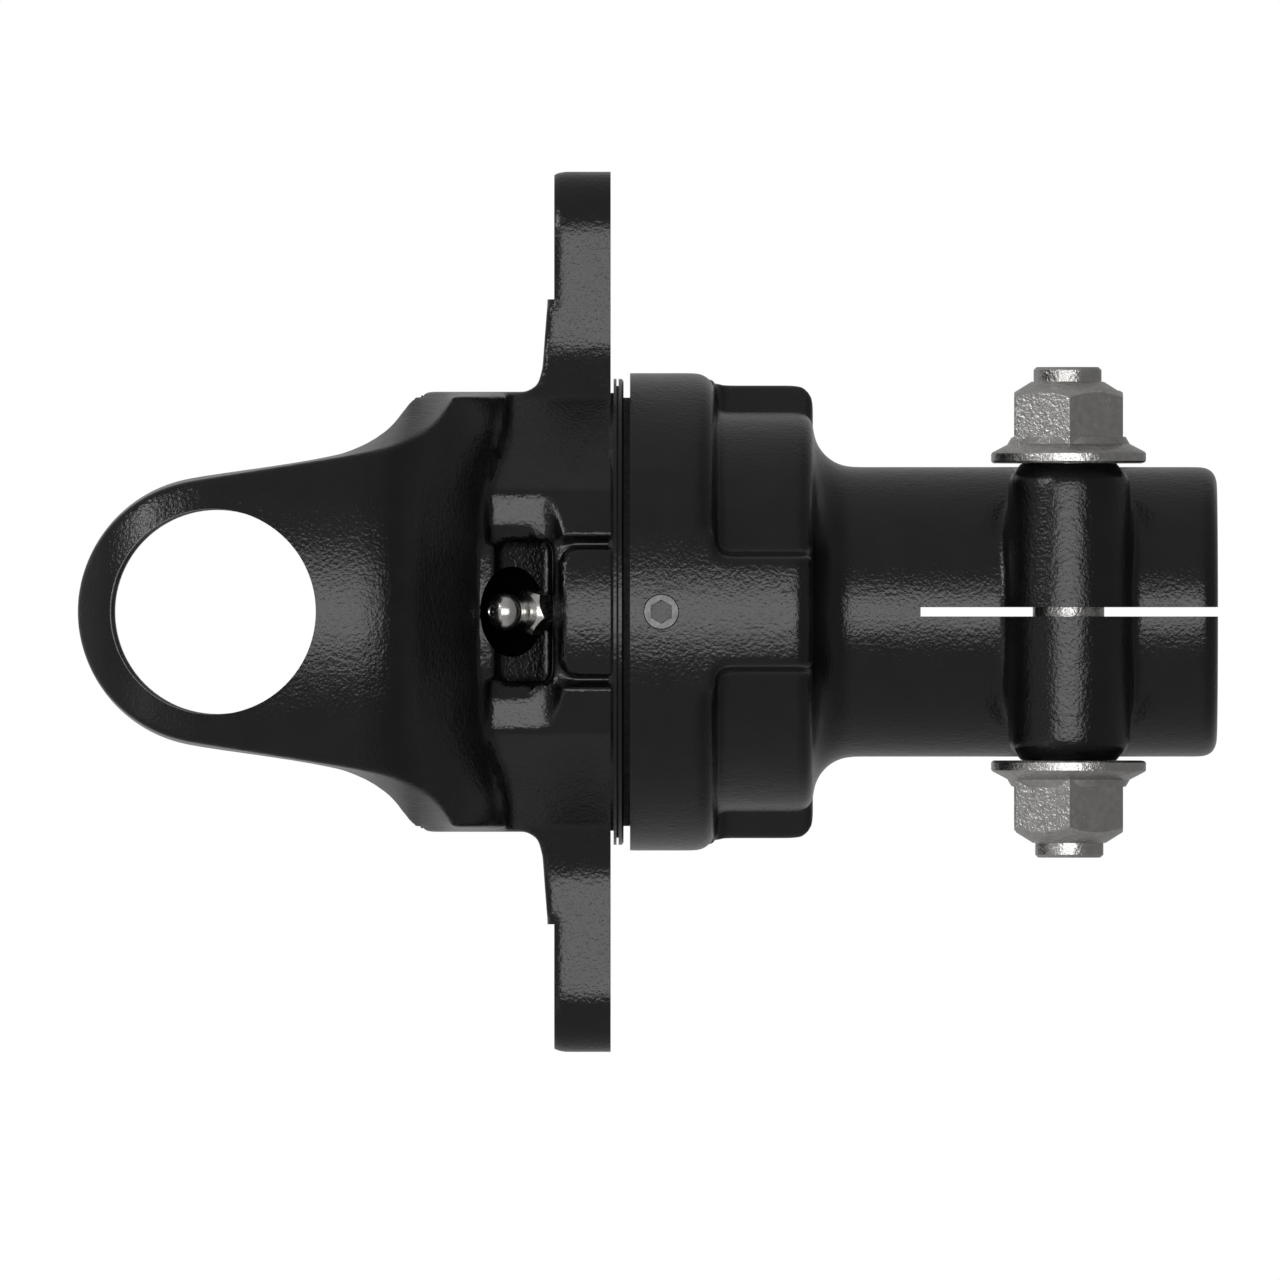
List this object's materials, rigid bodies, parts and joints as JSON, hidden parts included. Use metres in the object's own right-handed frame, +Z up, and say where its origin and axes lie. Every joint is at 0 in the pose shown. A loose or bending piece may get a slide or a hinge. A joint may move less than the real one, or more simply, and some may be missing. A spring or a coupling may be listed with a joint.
{
  "type": "overrunning clutch",
  "caption": "Driveline freewheel: a universal-joint yoke with two drilled lugs turns one way in a lobed cup with a split splined clamp hub.",
  "frame": {"origin": "centre of the clamp bore's mouth, on the hub's end face", "axes": "+X along the shaft, out of the clamp bore; +Z up, along the clamp bolts; the grease fitting faces -Y"},
  "size_m": [0.1937, 0.116, 0.15],
  "materials": {
    "black_paint": "glossy paint over as-cast skin",
    "machined_steel": "ground",
    "zinc_plate": "dull zinc plating",
    "nickel_plate": "bright plating",
    "spring_steel": "drawn wire",
    "bronze": "sintered, oiled",
    "rubber": "matte"
  },
  "bodies": {
    "hub": {"hub_body": "black_paint", "ball_plug": "machined_steel", "clamp_bolt_front": "zinc_plate", "clamp_bolt_back": "zinc_plate", "clamp_nut_front": "zinc_plate", "clamp_nut_back": "zinc_plate", "end_disc": "zinc_plate", "pilot_bush": "bronze", "thrust_washer": "bronze", "seal_ring": "rubber", "pawl_spring_1_a": "spring_steel", "pawl_spring_1_b": "spring_steel", "pawl_spring_2_a": "spring_steel", "pawl_spring_2_b": "spring_steel", "pawl_spring_3_a": "spring_steel", "pawl_spring_3_b": "spring_steel"},
    "yoke": {"yoke_body": "black_paint", "grease_fitting": "nickel_plate", "grease_check_spring": "spring_steel"},
    "ball_row": {"ball_01": "machined_steel", "ball_02": "machined_steel", "ball_03": "machined_steel", "ball_04": "machined_steel", "ball_05": "machined_steel", "ball_06": "machined_steel", "ball_07": "machined_steel", "ball_08": "machined_steel", "ball_09": "machined_steel", "ball_10": "machined_steel", "ball_11": "machined_steel", "ball_12": "machined_steel", "ball_13": "machined_steel", "ball_14": "machined_steel", "ball_15": "machined_steel", "ball_16": "machined_steel", "ball_17": "machined_steel", "ball_18": "machined_steel", "ball_19": "machined_steel", "ball_20": "machined_steel", "ball_21": "machined_steel", "ball_22": "machined_steel", "ball_23": "machined_steel", "ball_24": "machined_steel", "ball_25": "machined_steel", "ball_26": "machined_steel", "ball_27": "machined_steel", "ball_28": "machined_steel", "ball_29": "machined_steel", "ball_30": "machined_steel"},
    "pawl_1": {"pawl_1": "machined_steel"},
    "pawl_2": {"pawl_2": "machined_steel"},
    "pawl_3": {"pawl_3": "machined_steel"},
    "check_ball": {"grease_check_ball": "nickel_plate"}
  },
  "joints": [
    {"name": "overrun_spin", "type": "hinge", "parent": "hub", "child": "yoke", "pos_m": [0, 0, 0], "axis": [1, 0, 0], "continuous": true},
    {"name": "ball_row_spin", "type": "hinge", "parent": "hub", "child": "ball_row", "pos_m": [0, 0, 0], "axis": [1, 0, 0], "continuous": true},
    {"name": "pawl_1_drop", "type": "slide", "parent": "hub", "child": "pawl_1", "axis": [0, 1, 0], "range_m": [0, 0.0024], "stiffness_N_per_m": 400, "springref_m": 0.008, "deforming": ["pawl_spring_1_a", "pawl_spring_1_b"]},
    {"name": "pawl_2_drop", "type": "slide", "parent": "hub", "child": "pawl_2", "axis": [0, -0.5, 0.866], "range_m": [0, 0.0024], "stiffness_N_per_m": 400, "springref_m": 0.008, "deforming": ["pawl_spring_2_a", "pawl_spring_2_b"]},
    {"name": "pawl_3_drop", "type": "slide", "parent": "hub", "child": "pawl_3", "axis": [0, -0.5, -0.866], "range_m": [0, 0.0024], "stiffness_N_per_m": 400, "springref_m": 0.008, "deforming": ["pawl_spring_3_a", "pawl_spring_3_b"]},
    {"name": "grease_check_travel", "type": "slide", "parent": "yoke", "child": "check_ball", "axis": [0.7071, 0.7071, 0], "range_m": [0, 0.0008], "stiffness_N_per_m": 100, "deforming": ["grease_check_spring"]}
  ],
  "couplings": [
    {"joint": "ball_row_spin", "follows": "overrun_spin", "ratio": 0.4616}
  ]
}
